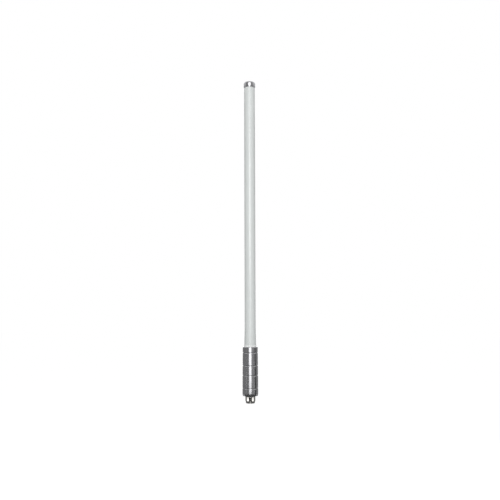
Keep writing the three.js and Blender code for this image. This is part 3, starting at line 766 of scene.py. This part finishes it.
bmesh.ops.recalc_face_normals(nut_mesh, faces=nut_mesh.faces)
nut = finished_object("nut", nut_mesh, sharp_from=nut_sharp_from)
# The bevel has to come before the weighted normals, so it moves up.
nut_rounding = nut.modifiers.new("broken_edges", "BEVEL")
nut_rounding.width = nut_edge
nut_rounding.segments = nut_edge_steps
nut_rounding.limit_method = "ANGLE"
nut_rounding.angle_limit = math.radians(nut_edge_from)
nut_rounding.use_clamp_overlap = False
nut.modifiers.move(1, 0)
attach(nut, "nut")
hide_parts("coupling_nut")
nickel = turned_metal(
    "nickel",
    bright=(0.64, 0.63, 0.605),
    dull=(0.56, 0.55, 0.525),
    roughness=(0.05, 0.1),
    rings=2400,
    ring_depth=0.04,
)
nut.data.materials.append(nickel)

# Nut thread: the ridge of the nut's 5/8-24 thread, cut right-handed in its bore, one turn every 24th of an
# inch. It starts just inside the mouth, and its foot lies a little way in the bore's wall. Its flanks and its
# crest are shares of the pitch.
inch = 0.0254
thread_pitch = inch / 24
thread_foot = nut_thread_root + 0.00008
thread_crest = 0.00755
thread_flank_share = 0.42
thread_crest_share = 0.08
thread_start = nut_low.z + 0.0006
thread_turns = 6
thread_steps = 60
thread_mesh = bmesh.new()
ridge = [
    thread_mesh.verts.new((radius, 0, thread_start + thread_pitch * share))
    for radius, share in (
        (thread_foot, 0),
        (thread_crest, thread_flank_share),
        (thread_crest, thread_flank_share + thread_crest_share),
        (thread_foot, 2 * thread_flank_share + thread_crest_share),
    )
]
thread_mesh.faces.new(ridge)
bmesh.ops.spin(
    thread_mesh,
    geom=thread_mesh.verts[:] + thread_mesh.edges[:] + thread_mesh.faces[:],
    cent=(0, 0, 0),
    axis=(0, 0, 1),
    dvec=(0, 0, thread_pitch / thread_steps),
    angle=math.tau * thread_turns,
    steps=thread_turns * thread_steps,
    use_merge=False,
    use_duplicate=False,
)
bmesh.ops.recalc_face_normals(thread_mesh, faces=thread_mesh.faces)
thread = finished_object("nut_thread", thread_mesh)
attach(thread, "nut")
thread.data.materials.append(nickel)

# Gasket: a flat ring of red silicone on the front of the plug body, where the mating jack's mouth presses. It
# was punched from sheet and its corners are soft.
gasket_low, gasket_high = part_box("jack_gasket")
gasket_hole = 0.00425
gasket_rounding = 0.0003
gasket = turned(
    "gasket",
    [
        (gasket_hole, gasket_low.z, gasket_rounding),
        (gasket_high.x, gasket_low.z, gasket_rounding),
        (gasket_high.x, gasket_high.z, gasket_rounding),
        (gasket_hole, gasket_high.z, gasket_rounding),
    ],
)
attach(gasket, "antenna")
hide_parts("jack_gasket")
red_silicone = coated_plastic(
    "red_silicone",
    colour=(0.35, 0.04, 0.03),
    stain=(0.28, 0.03, 0.02),
    roughness=(0.4, 0.55),
    coarse=2000,
    stretch=1,
    depth=0.00002,
)
gasket.data.materials.append(red_silicone)

# Outer contact: a thin turned sleeve, gold-plated and pressed into the plug body. Four sawn slots part its
# front into tines, which spring inwards as they enter the jack. Its rows of points run once round it, and a
# slot lies after each tine's last row.
contact_low, contact_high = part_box("contact_sleeve")
contact_wall = 0.0005
contact_slots = 4
contact_slot_width = 0.0005
contact_slot_end = 0.0062
contact_inside = contact_high.x - contact_wall
contact_steps = 24
slot_half_turn = contact_slot_width / 2 / contact_high.x
contact_mesh = bmesh.new()
contact_rows = []
for tine in range(contact_slots):
    tine_start = math.tau * tine / contact_slots + slot_half_turn
    tine_end = math.tau * (tine + 1) / contact_slots - slot_half_turn
    for step in range(contact_steps + 1):
        turn = tine_start + (tine_end - tine_start) * step / contact_steps
        contact_rows.append(
            [
                [
                    contact_mesh.verts.new((radius * math.cos(turn), radius * math.sin(turn), height))
                    for height in (contact_low.z, contact_slot_end, contact_high.z)
                ]
                for radius in (contact_inside, contact_high.x)
            ]
        )
for number, (inner, outer) in enumerate(contact_rows):
    next_inner, next_outer = contact_rows[(number + 1) % len(contact_rows)]
    quads = [
        (inner[2], outer[2], next_outer[2], next_inner[2]),
        (outer[1], next_outer[1], next_outer[2], outer[2]),
        (inner[1], next_inner[1], next_inner[2], inner[2]),
    ]
    if (number + 1) % (contact_steps + 1) == 0:
        quads += [
            (inner[1], outer[1], next_outer[1], next_inner[1]),
            (inner[0], outer[0], outer[1], inner[1]),
            (next_inner[0], next_outer[0], next_outer[1], next_inner[1]),
        ]
    else:
        quads += [
            (inner[0], outer[0], next_outer[0], next_inner[0]),
            (outer[0], next_outer[0], next_outer[1], outer[1]),
            (inner[0], next_inner[0], next_inner[1], inner[1]),
        ]
    for quad in quads:
        contact_mesh.faces.new(quad)
bmesh.ops.recalc_face_normals(contact_mesh, faces=contact_mesh.faces)
contact = finished_object("contact", contact_mesh)
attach(contact, "antenna")
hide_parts("contact_sleeve")
gold = turned_metal(
    "gold",
    bright=(0.83, 0.62, 0.27),
    dull=(0.7, 0.5, 0.2),
    roughness=(0.18, 0.28),
    rings=4000,
    ring_depth=0.1,
)
contact.data.materials.append(gold)

# Plug insulator: a turned bead of white plastic, pressed into the outer contact and the plug body and bored
# for the centre pin.
insulator_low, insulator_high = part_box("plug_insulator")
insulator_bore = 0.00155
insulator_edge = 0.0002
insulator = turned(
    "insulator",
    [
        (insulator_bore, insulator_low.z, insulator_edge),
        (insulator_high.x, insulator_low.z, insulator_edge),
        (insulator_high.x, insulator_high.z, insulator_edge),
        (insulator_bore, insulator_high.z, insulator_edge),
    ],
)
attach(insulator, "antenna")
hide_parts("plug_insulator")
white_plastic = coated_plastic(
    "white_plastic",
    colour=(0.85, 0.83, 0.79),
    stain=(0.8, 0.78, 0.73),
    roughness=(0.35, 0.5),
    coarse=1500,
    stretch=1,
    depth=0.00002,
)
insulator.data.materials.append(white_plastic)

# Centre pin: turned and gold-plated like the outer contact. Its tip is thin and rounded, and its thicker rear
# is held in the insulator.
pin_low, pin_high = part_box("centre_pin")
pin_tip_radius = 0.000825
pin_tip_rounding = 0.0006
pin_shoulder_edge = 0.0001
pin_sides = 48
pin = turned(
    "pin",
    [
        (0, pin_low.z, 0),
        (pin_tip_radius, pin_low.z, pin_tip_rounding),
        (pin_tip_radius, insulator_low.z, 0),
        (pin_high.x, insulator_low.z, pin_shoulder_edge),
        (pin_high.x, pin_high.z, 0),
        (0, pin_high.z, 0),
    ],
    sides=pin_sides,
)
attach(pin, "antenna")
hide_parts("centre_pin")
pin.data.materials.append(gold)

# Pieces kept as the CAD has them, inside the nut, the base and the tube: nickel-plated brass, spring steel,
# brass, copper, white plastic, foam and rubber, each with the finish of its stock. The solids that finer
# pieces replace get theirs as well.
spring_steel = turned_metal(
    "spring_steel",
    bright=(0.4, 0.41, 0.42),
    dull=(0.28, 0.28, 0.29),
    roughness=(0.3, 0.45),
    rings=1500,
    ring_depth=0.15,
)
brass = turned_metal(
    "brass",
    bright=(0.62, 0.46, 0.2),
    dull=(0.48, 0.34, 0.14),
    roughness=(0.28, 0.42),
    rings=2000,
    ring_depth=0.25,
)
copper = turned_metal(
    "copper",
    bright=(0.66, 0.33, 0.2),
    dull=(0.47, 0.22, 0.13),
    roughness=(0.28, 0.42),
    rings=1200,
    ring_depth=0.2,
)
grey_foam = coated_plastic(
    "grey_foam",
    colour=(0.2, 0.21, 0.22),
    stain=(0.14, 0.145, 0.15),
    roughness=(0.85, 1),
    coarse=1400,
    stretch=1,
    depth=0.0006,
)
black_rubber = coated_plastic(
    "black_rubber",
    colour=(0.012, 0.012, 0.013),
    stain=(0.02, 0.02, 0.02),
    roughness=(0.5, 0.7),
    coarse=2500,
    stretch=1,
    depth=0.00002,
)
finish_of_slot = {
    "nickel_plate": nickel,
    "turned_metal": base_metal,
    "white_fibreglass": gel_coat,
    "white_sealant": sealant,
    "spring_steel": spring_steel,
    "gold_plate": gold,
    "brass": brass,
    "copper": copper,
    "white_plastic": white_plastic,
    "grey_foam": grey_foam,
    "black_rubber": black_rubber,
    "red_silicone": red_silicone,
}
for part in frame["record"]["subparts"]:
    for material_place in frame["nodes"][part["node"]].material_slots:
        material_place.material = finish_of_slot[part["material_slot"]]
